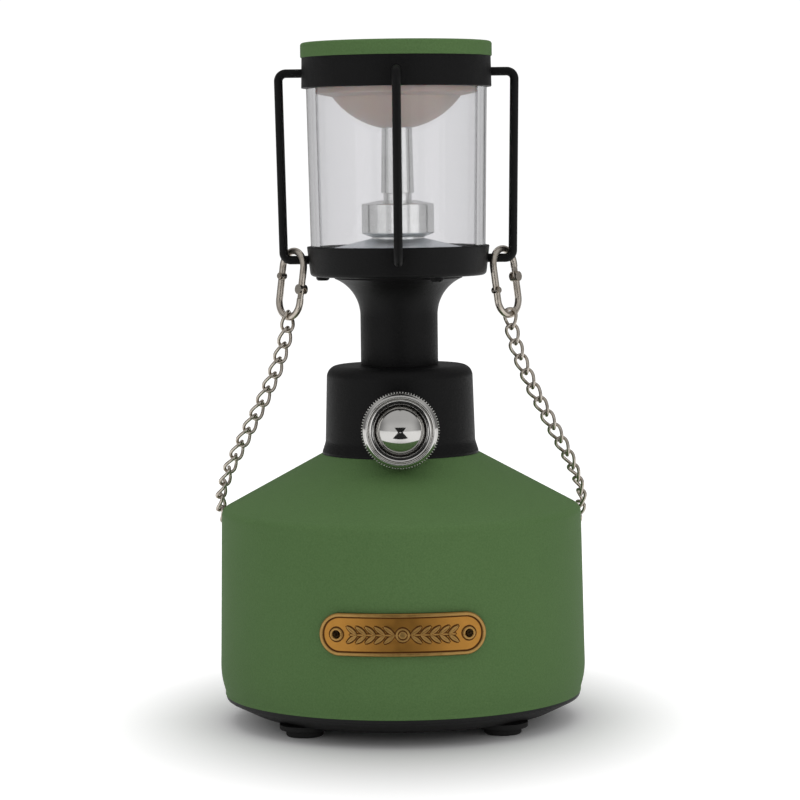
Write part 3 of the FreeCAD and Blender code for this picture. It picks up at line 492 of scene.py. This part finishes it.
# %% Seed points for the chain
def chain_seeds(order, hand):
    """The links' places with the twisted links' directions, and how far sideways they face in all."""
    mesh = bpy.data.meshes.new("chain_seeds")
    mesh.from_pydata([p[0] for p in order], [], [])
    along_data = mesh.attributes.new("along", "FLOAT_VECTOR", "POINT")
    across_data = mesh.attributes.new("across", "FLOAT_VECTOR", "POINT")
    sideways = 0.0
    before = None
    for i, (middle, long_way, across) in enumerate(order):
        toward = order[i + 1][0] - middle if i + 1 < len(order) else middle - order[i - 1][0]
        along = long_way if long_way.dot(toward) > 0 else -long_way
        back = hand * (oval_lean if i % 2 == 0 else -oval_lean) + chain_roll
        lain = Matrix.Rotation(math.radians(back), 3, along) @ across
        flat = along.cross(Vector((middle.x, middle.y, 0.0))).normalized()
        share = min(max((hang_free - middle.z) / (hang_free - on_tank_below), 0.0), 1.0)
        against_tank = flat if flat.dot(lain) > 0 else -flat
        lain = lain.lerp(against_tank, share * share * (3 - 2 * share)).normalized()
        if before is not None:
            lain = lain if lain.dot(before) > 0 else -lain
        before = lain
        sideways += abs(lain.x) if middle.z > tank_shoulder else 0.0
        along_data.data[i].vector = along
        across_data.data[i].vector = lain
    return mesh, sideways


trials = [chain_seeds(order, hand) for hand in (1, -1)]
seeds, sideways = max(trials, key=lambda t: t[1])
print("chain hand:", "right" if seeds is trials[0][0] else "left", [round(t[1], 1) for t in trials])

# %% Twisted curb links
link_blunt = 0.8


def curb_chain(tree, seeds, size):
    """One twisted oval of round wire, set on every seed."""
    ring = tree.add("GeometryNodeCurvePrimitiveCircle", {}, {"Resolution": 36, "Radius": 1.0})
    where = tree.add("GeometryNodeInputPosition")
    split = tree.add("ShaderNodeSeparateXYZ", {}, {0: where})
    x, y = split, Value(tree, split.socket.node.outputs[1])
    x = x.sign() * x.size().power(link_blunt) * size["Half length"]
    y = y.sign() * y.size().power(link_blunt) * size["Half width"]
    turn = x / size["Half length"] * size["Twist"] * 0.5
    bent = tree.add("ShaderNodeCombineXYZ", {}, {0: x, 1: y * turn.cosine(), 2: y * turn.sine()})
    oval = tree.add("GeometryNodeSetPosition", {}, {"Geometry": ring, "Position": bent})
    round_wire = {"Resolution": 12, "Radius": size["Wire radius"]}
    section = tree.add("GeometryNodeCurvePrimitiveCircle", {}, round_wire)
    link = tree.add("GeometryNodeCurveToMesh", {}, {"Curve": oval, "Profile Curve": section})
    along = tree.add("GeometryNodeInputNamedAttribute", {"data_type": "FLOAT_VECTOR"}, {"Name": "along"})
    across = tree.add("GeometryNodeInputNamedAttribute", {"data_type": "FLOAT_VECTOR"}, {"Name": "across"})
    axes = {"primary_axis": "X", "secondary_axis": "Y"}
    facing = tree.add("FunctionNodeAxesToRotation", axes, {0: along, 1: across})
    points = tree.add("GeometryNodeMeshToPoints", {}, {"Mesh": seeds})
    spread = {"Points": points, "Instance": link, "Rotation": facing}
    chain = tree.add("GeometryNodeInstanceOnPoints", {}, spread)
    return tree.add("GeometryNodeSetShadeSmooth", {}, {"Geometry": chain})


curb_sizes = {
    "Half length": link_half_long,
    "Half width": link_half_wide,
    "Wire radius": link_wire / 2,
    "Twist": math.radians(90.0),
}
chain = grow("carrying_chain", seeds, curb_chain, curb_sizes, nickel)
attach(chain, "lantern")
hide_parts("chain_links")
print("chain:", len(chain.data.polygons), "faces")

# %% [markdown]
# The knob is a turned chrome ring with a knurled edge, a raised bead, a hollow channel and a dark groove
# round its dome. Its outline follows one rule, a profile swept round the axis, and the knurls are one
# blunt ridge repeated. Both are grown together. The profile's points are listed; its place and the knurls'
# radius come from the frame's own knob.

# %% Knob ring with its knurls
knob_low, knob_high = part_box("knob_body")
knob_back = -knob_high.y
knob_z = (knob_low.z + knob_high.z) / 2
knob_r = (knob_high.x - knob_low.x) / 2
ridge_r = 0.52 * MM
ridge_slim = 0.62
ridge_blunt = 0.35
knob_profile = [  # radius and distance in front of the back face, in millimetres
    (5.6, 0.5), (10.9, 0.5), (11.2, 0.0), (12.4, 0.0), (12.65, 0.25), (12.65, 5.2), (12.6, 5.4),
    (12.45, 5.55), (12.3, 5.75), (12.2, 6.1), (12.0, 6.45), (11.75, 6.72), (11.45, 6.85), (11.15, 6.78),
    (10.95, 6.5), (10.7, 6.05), (10.3, 5.72), (9.9, 5.6), (9.5, 5.62), (9.1, 5.7), (8.95, 5.68), (8.85, 5.5),
    (8.8, 4.62), (5.6, 4.62),
]


def knob_outline():
    """The knob's profile as a closed loop of edges, in the plane through the axis."""
    mesh = bpy.data.meshes.new("knob_outline")
    points = [(r * MM, 0.0, f * MM) for r, f in knob_profile]
    count = len(points)
    mesh.from_pydata(points, [(i, (i + 1) % count) for i in range(count)], [])
    return mesh


def knurled_ring(tree, outline, size):
    """The outline swept round the axis in steps, with a ridge on every step of the edge."""
    stack = {"Count": size["Steps"], "Offset": (0, 0, 0)}
    steps = tree.add("GeometryNodeMeshLine", {"mode": "OFFSET"}, stack)
    index = tree.add("GeometryNodeInputIndex")
    angle = index * (2 * math.pi) / size["Steps"]
    turn = tree.add("ShaderNodeCombineXYZ", {}, {2: angle})
    swept = {"Points": steps, "Instance": outline, "Rotation": turn}
    fans = tree.add("GeometryNodeInstanceOnPoints", {}, swept)
    ball = tree.add("GeometryNodeMeshUVSphere", {}, {"Segments": 10, "Rings": 8, "Radius": 1.0})
    across = tree.add("ShaderNodeSeparateXYZ", {}, {0: tree.add("GeometryNodeInputPosition")})
    outputs = across.socket.node.outputs
    upward = Value(tree, outputs[2])
    blunt_end = upward.sign() * upward.size().power(ridge_blunt)
    blunted = tree.add("ShaderNodeCombineXYZ", {}, {0: across, 1: Value(tree, outputs[1]), 2: blunt_end})
    ridge = tree.add("GeometryNodeSetPosition", {}, {"Geometry": ball, "Position": blunted})
    half_sizes = {0: size["Ridge"], 1: size["Ridge"] * ridge_slim, 2: size["Reach"]}
    stretch = tree.add("ShaderNodeCombineXYZ", {}, half_sizes)
    long_ridge = tree.add("GeometryNodeTransform", {}, {"Geometry": ridge, "Scale": stretch})
    edge = {"Vertices": size["Ridges"], "Radius": size["Rim"]}
    rim = tree.add("GeometryNodeMeshCircle", {"fill_type": "NONE"}, edge)
    spin = tree.add("ShaderNodeCombineXYZ", {}, {2: index * (2 * math.pi) / size["Ridges"]})
    set_round = {"Points": rim, "Instance": long_ridge, "Rotation": spin}
    knurls = tree.add("GeometryNodeInstanceOnPoints", {}, set_round)
    lifted = tree.add("ShaderNodeCombineXYZ", {}, {2: size["Middle"]})
    knurls = tree.add("GeometryNodeTransform", {}, {"Geometry": knurls, "Translation": lifted})
    smooth = tree.add("GeometryNodeSetShadeSmooth", {}, {"Geometry": knurls})
    both = tree.add("GeometryNodeJoinGeometry")
    tree.links.new(smooth.socket, both.socket.node.inputs[0])
    tree.links.new(fans.socket, both.socket.node.inputs[0])
    return both


knob_sizes = {
    "Steps": 144,
    "Ridges": 84,
    "Ridge": ridge_r,
    "Reach": 2.55 * MM,
    "Rim": knob_r - ridge_r,
    "Middle": 2.75 * MM,
}
knob_ring = grow("knob_ring", knob_outline(), knurled_ring, knob_sizes, chrome)


def skin_between_loops(piece, steps, count):
    """Joins each copy of the outline to the next one with a strip of faces."""
    body = bmesh.new()
    body.from_mesh(piece.data)
    body.verts.ensure_lookup_table()
    wires = [v for v in body.verts if not v.link_faces]
    loops = [wires[i * count:(i + 1) * count] for i in range(steps)]
    for i, loop in enumerate(loops):
        following = loops[(i + 1) % steps]
        for j in range(count):
            k = (j + 1) % count
            face = body.faces.new((loop[j], following[j], following[k], loop[k]))
            face.smooth = True
    bmesh.ops.recalc_face_normals(body, faces=body.faces)
    body.to_mesh(piece.data)
    body.free()


skin_between_loops(knob_ring, knob_sizes["Steps"], len(knob_profile))
to_front = Matrix.Translation((0, -knob_back, knob_z)) @ Matrix.Rotation(math.radians(90), 4, "X")
knob_ring.data.transform(to_front)
knob_ring.data.materials.clear()
knob_ring.data.materials.append(chrome)
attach(knob_ring, "knob")
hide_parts("knob_body")
print("knob ring:", len(knob_ring.data.polygons), "faces")

# %% [markdown]
# The name plate is a curved brass casting with a raised rim, two eyelets and a plain leaf border. It could
# be cut from solids, but a cast relief has soft edges. So its face is a fine net that follows the stadium
# outline, and one height rule lifts the rim, the eyelets and the leaves out of the dark floor.

# %% Name plate relief
plate_low, plate_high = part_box("name_plate")
plate_mid_z = (plate_low.z + plate_high.z) / 2
plate_half_high = (plate_high.z - plate_low.z) / 2
plate_half_wide = (plate_high.x - plate_low.x) / 2
plate_reach = -plate_low.y
eyelet_off = 21.8 * MM
rim_wide = 1.15 * MM
plate_thick = 1.4 * MM
rim_lift = 0.6 * MM
leaf_lift = 0.55 * MM
hole_r = 1.3 * MM
hole_edge = 0.12 * MM
eyelet_r = 2.5 * MM
eyelet_lift = 0.5 * MM
edge_round = 0.35 * MM
leaf_first, leaf_step, leaf_rise = 4.4, 3.05, 1.45  # millimetres from the plate's middle
leaf_lean = math.radians(38.0)
leaf_half_long = 2.3 * MM
leaf_half_wide = 0.95 * MM
stalk_side = (0.42 * MM, 0.18 * MM)
stalk_end = (17.6 * MM, 16.9 * MM)
boss_edge = (2.5 * MM, 2.15 * MM)
boss_ring_r = 1.45 * MM
boss_ring_edge = (0.35 * MM, 0.1 * MM)


def soft_step(low, high, x):
    t = min(max((x - low) / (high - low), 0.0), 1.0)
    return t * t * (3 - 2 * t)


def leaf(s, z, s0, z0, lean, half_long, half_wide):
    """How far inside a pointed leaf the point (s, z) is, from 0 at its edge to 1 on its vein."""
    c, n = math.cos(lean), math.sin(lean)
    u = ((s - s0) * c + (z - z0) * n) / half_long
    w = (-(s - s0) * n + (z - z0) * c) / half_wide
    room = 1.0 - u * u
    return 0.0 if room <= 0 else max(0.0, 1.0 - abs(w) / room)


leaves = [
    (side * (leaf_first + leaf_step * i) * MM, up * leaf_rise * MM, up * side * leaf_lean)
    for side in (-1, 1)
    for up in (-1, 1)
    for i in range(5)
]


def ornament(s, z):
    """Height of the leaf border: slanting leaves on a stalk, either side of a round boss."""
    height = 0.0
    for s0, z0, lean in leaves:
        inside = leaf(s, z, s0, z0, lean, leaf_half_long, leaf_half_wide)
        vein = 1.0 - 0.35 * soft_step(0.75, 1.0, inside)
        height = max(height, soft_step(0.0, 0.45, inside) * vein)
    stalk = soft_step(*stalk_side, abs(z)) * soft_step(*stalk_end, abs(s))
    boss = math.hypot(s, z)
    disc = soft_step(*boss_edge, boss) - 0.6 * soft_step(*boss_ring_edge, abs(boss - boss_ring_r))
    return max(height, 0.7 * stalk, disc)


def plate_relief(s, z, from_edge):
    """Height above the plate's floor, in metres, at s along the plate and z up it."""
    outer = soft_step(0.0, edge_round, from_edge)
    rim = rim_lift * soft_step(rim_wide + 0.3 * MM, rim_wide - 0.1 * MM, from_edge)
    height = rim - edge_round * (1 - outer)
    height = max(height, leaf_lift * ornament(s, z)) if from_edge > rim_wide else height
    away = math.hypot(abs(s) - eyelet_off, z)
    collar = soft_step(eyelet_r, eyelet_r - eyelet_lift, away)
    height = max(height, eyelet_lift * collar)
    well = soft_step(hole_r + hole_edge, hole_r - hole_edge, away)
    return height - well * (plate_thick + 0.3 * MM)


print("plate:", round(plate_half_wide * 2000, 1), "x", round(plate_half_high * 2000, 1), "mm")

# %% [markdown]
# The net's lines run parallel to the outline and close in on the plate's middle line, so the rim is clean
# all the way round. Every point is then bent round the tank's side, and a back wall closes the casting.

# %% Name plate mesh
def stadium_point(turn, inset):
    """A point of the outline moved inwards, at a share of the way round."""
    r = plate_half_high
    straight = plate_half_wide_arc - r
    run = 2 * straight
    length = 2 * run + 2 * math.pi * r
    d = turn * length
    if d < run:
        return -straight + d, r - inset
    d -= run
    if d < math.pi * r:
        a = math.pi / 2 - d / r
        return straight + (r - inset) * math.cos(a), (r - inset) * math.sin(a)
    d -= math.pi * r
    if d < run:
        return straight - d, -r + inset
    a = -math.pi / 2 - (d - run) / r
    return -straight + (r - inset) * math.cos(a), (r - inset) * math.sin(a)


side_lean = 0.0157
plate_r = plate_reach - rim_lift - plate_thick - side_lean * plate_half_high
plate_half_wide_arc = plate_r * math.asin(plate_half_wide / (plate_r + plate_thick))
around_count = 520
inward_count = 44
crowding = 1.15
step_look = 0.34 * MM
step_full = 0.30 * MM
back_gap = 0.02 * MM
weld = 2e-6


def on_tank(s, z, height):
    """A flat place and height bent round the tank's side."""
    r = plate_r + height - side_lean * z
    a = s / plate_r
    return (r * math.sin(a), -r * math.cos(a), plate_mid_z + z)


def step_near(s, z, inset, lift):
    """How much higher the casting is a short way off, from 0 on a flat to 1 at the foot of a step."""
    sides = ((step_look, 0), (-step_look, 0), (0, step_look), (0, -step_look))
    near = [plate_relief(s + ds, z + dz, inset) for ds, dz in sides]
    near.append(plate_relief(s, z, max(inset - step_look, 0.0)))
    return min(max((max(near) - lift) / step_full, 0.0), 1.0)


def plate_mesh():
    points, depth, corner, faces = [], [], [], []
    for j in range(inward_count + 1):
        inset = plate_half_high * (j / inward_count) ** crowding
        for i in range(around_count):
            s, z = stadium_point(i / around_count, inset)
            lift = plate_relief(s, z, inset)
            points.append(on_tank(s, z, plate_thick + lift))
            depth.append(1.0 - min(max(lift / leaf_lift, 0.0), 1.0))
            corner.append(step_near(s, z, inset, lift))
    for i in range(around_count):
        s, z = stadium_point(i / around_count, 0.0)
        points.append(on_tank(s, z, back_gap))
        depth.append(1.0)
        corner.append(1.0)
    last = (inward_count + 1) * around_count
    for j in range(inward_count):
        for i in range(around_count):
            k = (i + 1) % around_count
            row, below = j * around_count, (j + 1) * around_count
            faces.append((row + i, row + k, below + k, below + i))
    for i in range(around_count):
        k = (i + 1) % around_count
        faces.append((last + i, last + k, k, i))
    faces.append(tuple(range(last, last + around_count)))
    mesh = bpy.data.meshes.new("name_plate_relief")
    mesh.from_pydata(points, [], faces)
    for label, values in (("depth", depth), ("patina", corner)):
        mesh.attributes.new(label, "FLOAT", "POINT").data.foreach_set("value", values)
    body = bmesh.new()
    body.from_mesh(mesh)
    bmesh.ops.remove_doubles(body, verts=body.verts, dist=weld)
    bmesh.ops.triangulate(body, faces=[f for f in body.faces if len(f.verts) > 4])
    bmesh.ops.recalc_face_normals(body, faces=body.faces)
    for face in body.faces:
        face.smooth = True
    body.to_mesh(mesh)
    body.free()
    mesh.materials.append(plate_brass)
    return mesh


plate = stand("brass_plate_relief", plate_mesh())
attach(plate, "lantern")
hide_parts("name_plate")
print("name plate:", len(plate.data.polygons), "faces")

# %% [markdown]
# The lantern stands on a plain pale sweep. A large white plane is enough. Its far part glows a little, so
# that it stays as bright as the backdrop. The glow fades out in an oval round the lantern, and this fade
# is a painted shadow: the soft shadow pool there is partly cast by the lights and partly painted.

# %% Pale floor
# The painted shadow pool's oval, then where its fade starts and ends, in metres.
painted_shadow_wide, painted_shadow_deep = 1.14, 0.76  # more than 1 draws the shadow's pool in, and less lets it spread
painted_shadow_from, painted_shadow_to = 0.035, 0.160
glow_strength = 0.75
glow_lost_in_mirrors = 0.45


def sweep_material():
    sweep = Finish("pale_sweep", Roughness=0.9)
    sweep.set("Base Color", rgba(0.86, 0.86, 0.86))
    sweep.set("Specular IOR Level", 0.0)
    split = sweep.add("ShaderNodeSeparateXYZ", {}, {0: sweep.place})
    x, y = split, Value(sweep, split.socket.node.outputs[1])
    # This fade of the glow round the lantern paints the shadow pool, over the shadow that the lights cast.
    x, y = x * painted_shadow_wide, y * painted_shadow_deep
    away = (x * x + y * y).power(0.5)
    fed = {"Value": away, "From Min": painted_shadow_from, "From Max": painted_shadow_to, "To Min": 0.0, "To Max": 1.0}
    glow = sweep.add("ShaderNodeMapRange", {"interpolation_type": "SMOOTHSTEP"}, fed)
    bounced = sweep.add("ShaderNodeLightPath", output="Is Diffuse Ray")
    mirrored = Value(sweep, bounced.socket.node.outputs["Is Glossy Ray"])
    shown = glow * (1.0 - bounced) * (1.0 - mirrored * glow_lost_in_mirrors)
    sweep.set("Emission Color", sweep.blend_colour(shown, rgba(0, 0, 0), rgba(1, 1, 1)))
    sweep.set("Emission Strength", glow_strength)
    return sweep.material


floor_size = 6.0
floor_mesh = bpy.data.meshes.new("floor")
half = floor_size / 2
floor_corners = [(-half, -half, 0), (half, -half, 0), (half, half, 0), (-half, half, 0)]
floor_mesh.from_pydata(floor_corners, [], [(0, 1, 2, 3)])
floor_mesh.materials.append(sweep_material())
floor = stand("pale_floor", floor_mesh)
print("floor:", floor_size, "m square")

# %% [markdown]
# Soft light comes from above and wraps the lantern from the sides, and the room is dim near the floor, so
# that the black parts stay black. The world is white only where it is seen straight on or through the
# glass, which is what a lit backdrop far behind the lantern would do. Reflections see a brighter front,
# and one dark card stands where a camera on its stand would, because bright chrome needs a dark shape.

# %% Studio light
def area_light(name, place, target, width, height, power):
    data = bpy.data.lights.new(name, "AREA")
    data.shape = "RECTANGLE"
    data.size, data.size_y = width, height
    data.energy = power
    light = bpy.data.objects.new(name, data)
    aim = (Vector(target) - Vector(place)).to_track_quat("-Z", "Y").to_matrix().to_4x4()
    light.matrix_world = Matrix.Translation(place) @ aim
    light.visible_glossy = False
    bpy.context.scene.collection.objects.link(light)


card_half, card_top, card_away, card_near = 0.42, 0.34, -0.95, -0.18
card_mesh = bpy.data.meshes.new("dark_card")
card_side = [(0.10, card_near, 0.002), (0.16, card_away, 0.002), (card_half, card_away, card_top)]
card_points = [(-x, y, z) for x, y, z in card_side] + [(x, y, z) for x, y, z in reversed(card_side)]
card_mesh.from_pydata(card_points, [], [(0, 1, 4, 5), (1, 2, 3, 4)])
card_mesh.materials.append(moulded("dark_card_cloth", (0.01, 0.01, 0.01), (0.02, 0.02, 0.02), 0.9))
card = stand("dark_card", card_mesh)
for reach in ("camera", "diffuse", "transmission", "shadow", "volume_scatter"):
    setattr(card, "visible_" + reach, False)

lamp_middle = (0.0, 0.0, 0.11)
area_light("left_softbox", (-0.95, -0.75, 0.45), lamp_middle, 0.7, 1.0, 0.7)
area_light("right_softbox", (0.95, -0.70, 0.50), lamp_middle, 0.7, 1.0, 1.5)
area_light("front_softbox", (0.1, -1.3, 0.25), lamp_middle, 1.2, 0.8, 2.0)
area_light("top_softbox", (0.0, 0.15, 1.25), lamp_middle, 1.1, 1.1, 3.6)

room_floor, room_top = 0.16, 0.50
mirror_back, mirror_front, mirror_top = 0.20, 0.62, 0.50
backdrop = 1.05

world = bpy.data.worlds.new("studio_world")
bpy.context.scene.world = world
world.use_nodes = True
sky = Tree(world.node_tree)
sky.nodes.clear()
path = sky.add("ShaderNodeLightPath", output="Is Camera Ray")
rays = path.socket.node.outputs
reflected = Value(sky, rays["Glossy Depth"])
fresh = sky.add("ShaderNodeMath", {"operation": "LESS_THAN"}, {0: reflected, 1: 0.5})
through = Value(sky, rays["Is Transmission Ray"]) * (fresh * 0.4 + 0.6)
seen = sky.add("ShaderNodeMath", {"operation": "MAXIMUM"}, {0: path, 1: through})
toward = sky.add("ShaderNodeTexCoord", output="Generated")
toward = sky.add("ShaderNodeSeparateXYZ", {}, {0: toward})
forward, upward = [Value(sky, toward.socket.node.outputs[i]) for i in (1, 2)]


def ramp(value, low, high):
    """0 below low, 1 above high, and a soft step between."""
    fed = {"Value": value, "From Min": low, "From Max": high, "To Min": 0.0, "To Max": 1.0}
    return sky.add("ShaderNodeMapRange", {"interpolation_type": "SMOOTHSTEP"}, fed)


def glow(strength):
    return sky.add("ShaderNodeBackground", {}, {"Color": rgba(1, 1, 1), "Strength": strength})


rise = ramp(upward, 0.10, 0.80)
room = sky.add("ShaderNodeMixShader", {}, {0: rise, 1: glow(room_floor), 2: glow(room_top)})
front = ramp(forward * -1.0, -0.25, 0.75)
above = ramp(upward, 0.25, 0.75)
level = sky.add("ShaderNodeMixShader", {}, {0: front, 1: glow(mirror_back), 2: glow(mirror_front)})
mirrored = sky.add("ShaderNodeMixShader", {}, {0: above, 1: level, 2: glow(mirror_top)})
diffuse = Value(sky, rays["Is Diffuse Ray"])
unseen = sky.add("ShaderNodeMixShader", {}, {0: diffuse, 1: mirrored, 2: room})
mixed = sky.add("ShaderNodeMixShader", {}, {0: seen, 1: unseen, 2: glow(backdrop)})
sky.add("ShaderNodeOutputWorld", {}, {"Surface": mixed})
bpy.context.scene.view_settings.view_transform = "Standard"
print("lights: two side boxes, one in front and one overhead")

# %% [markdown]


print("scene built")
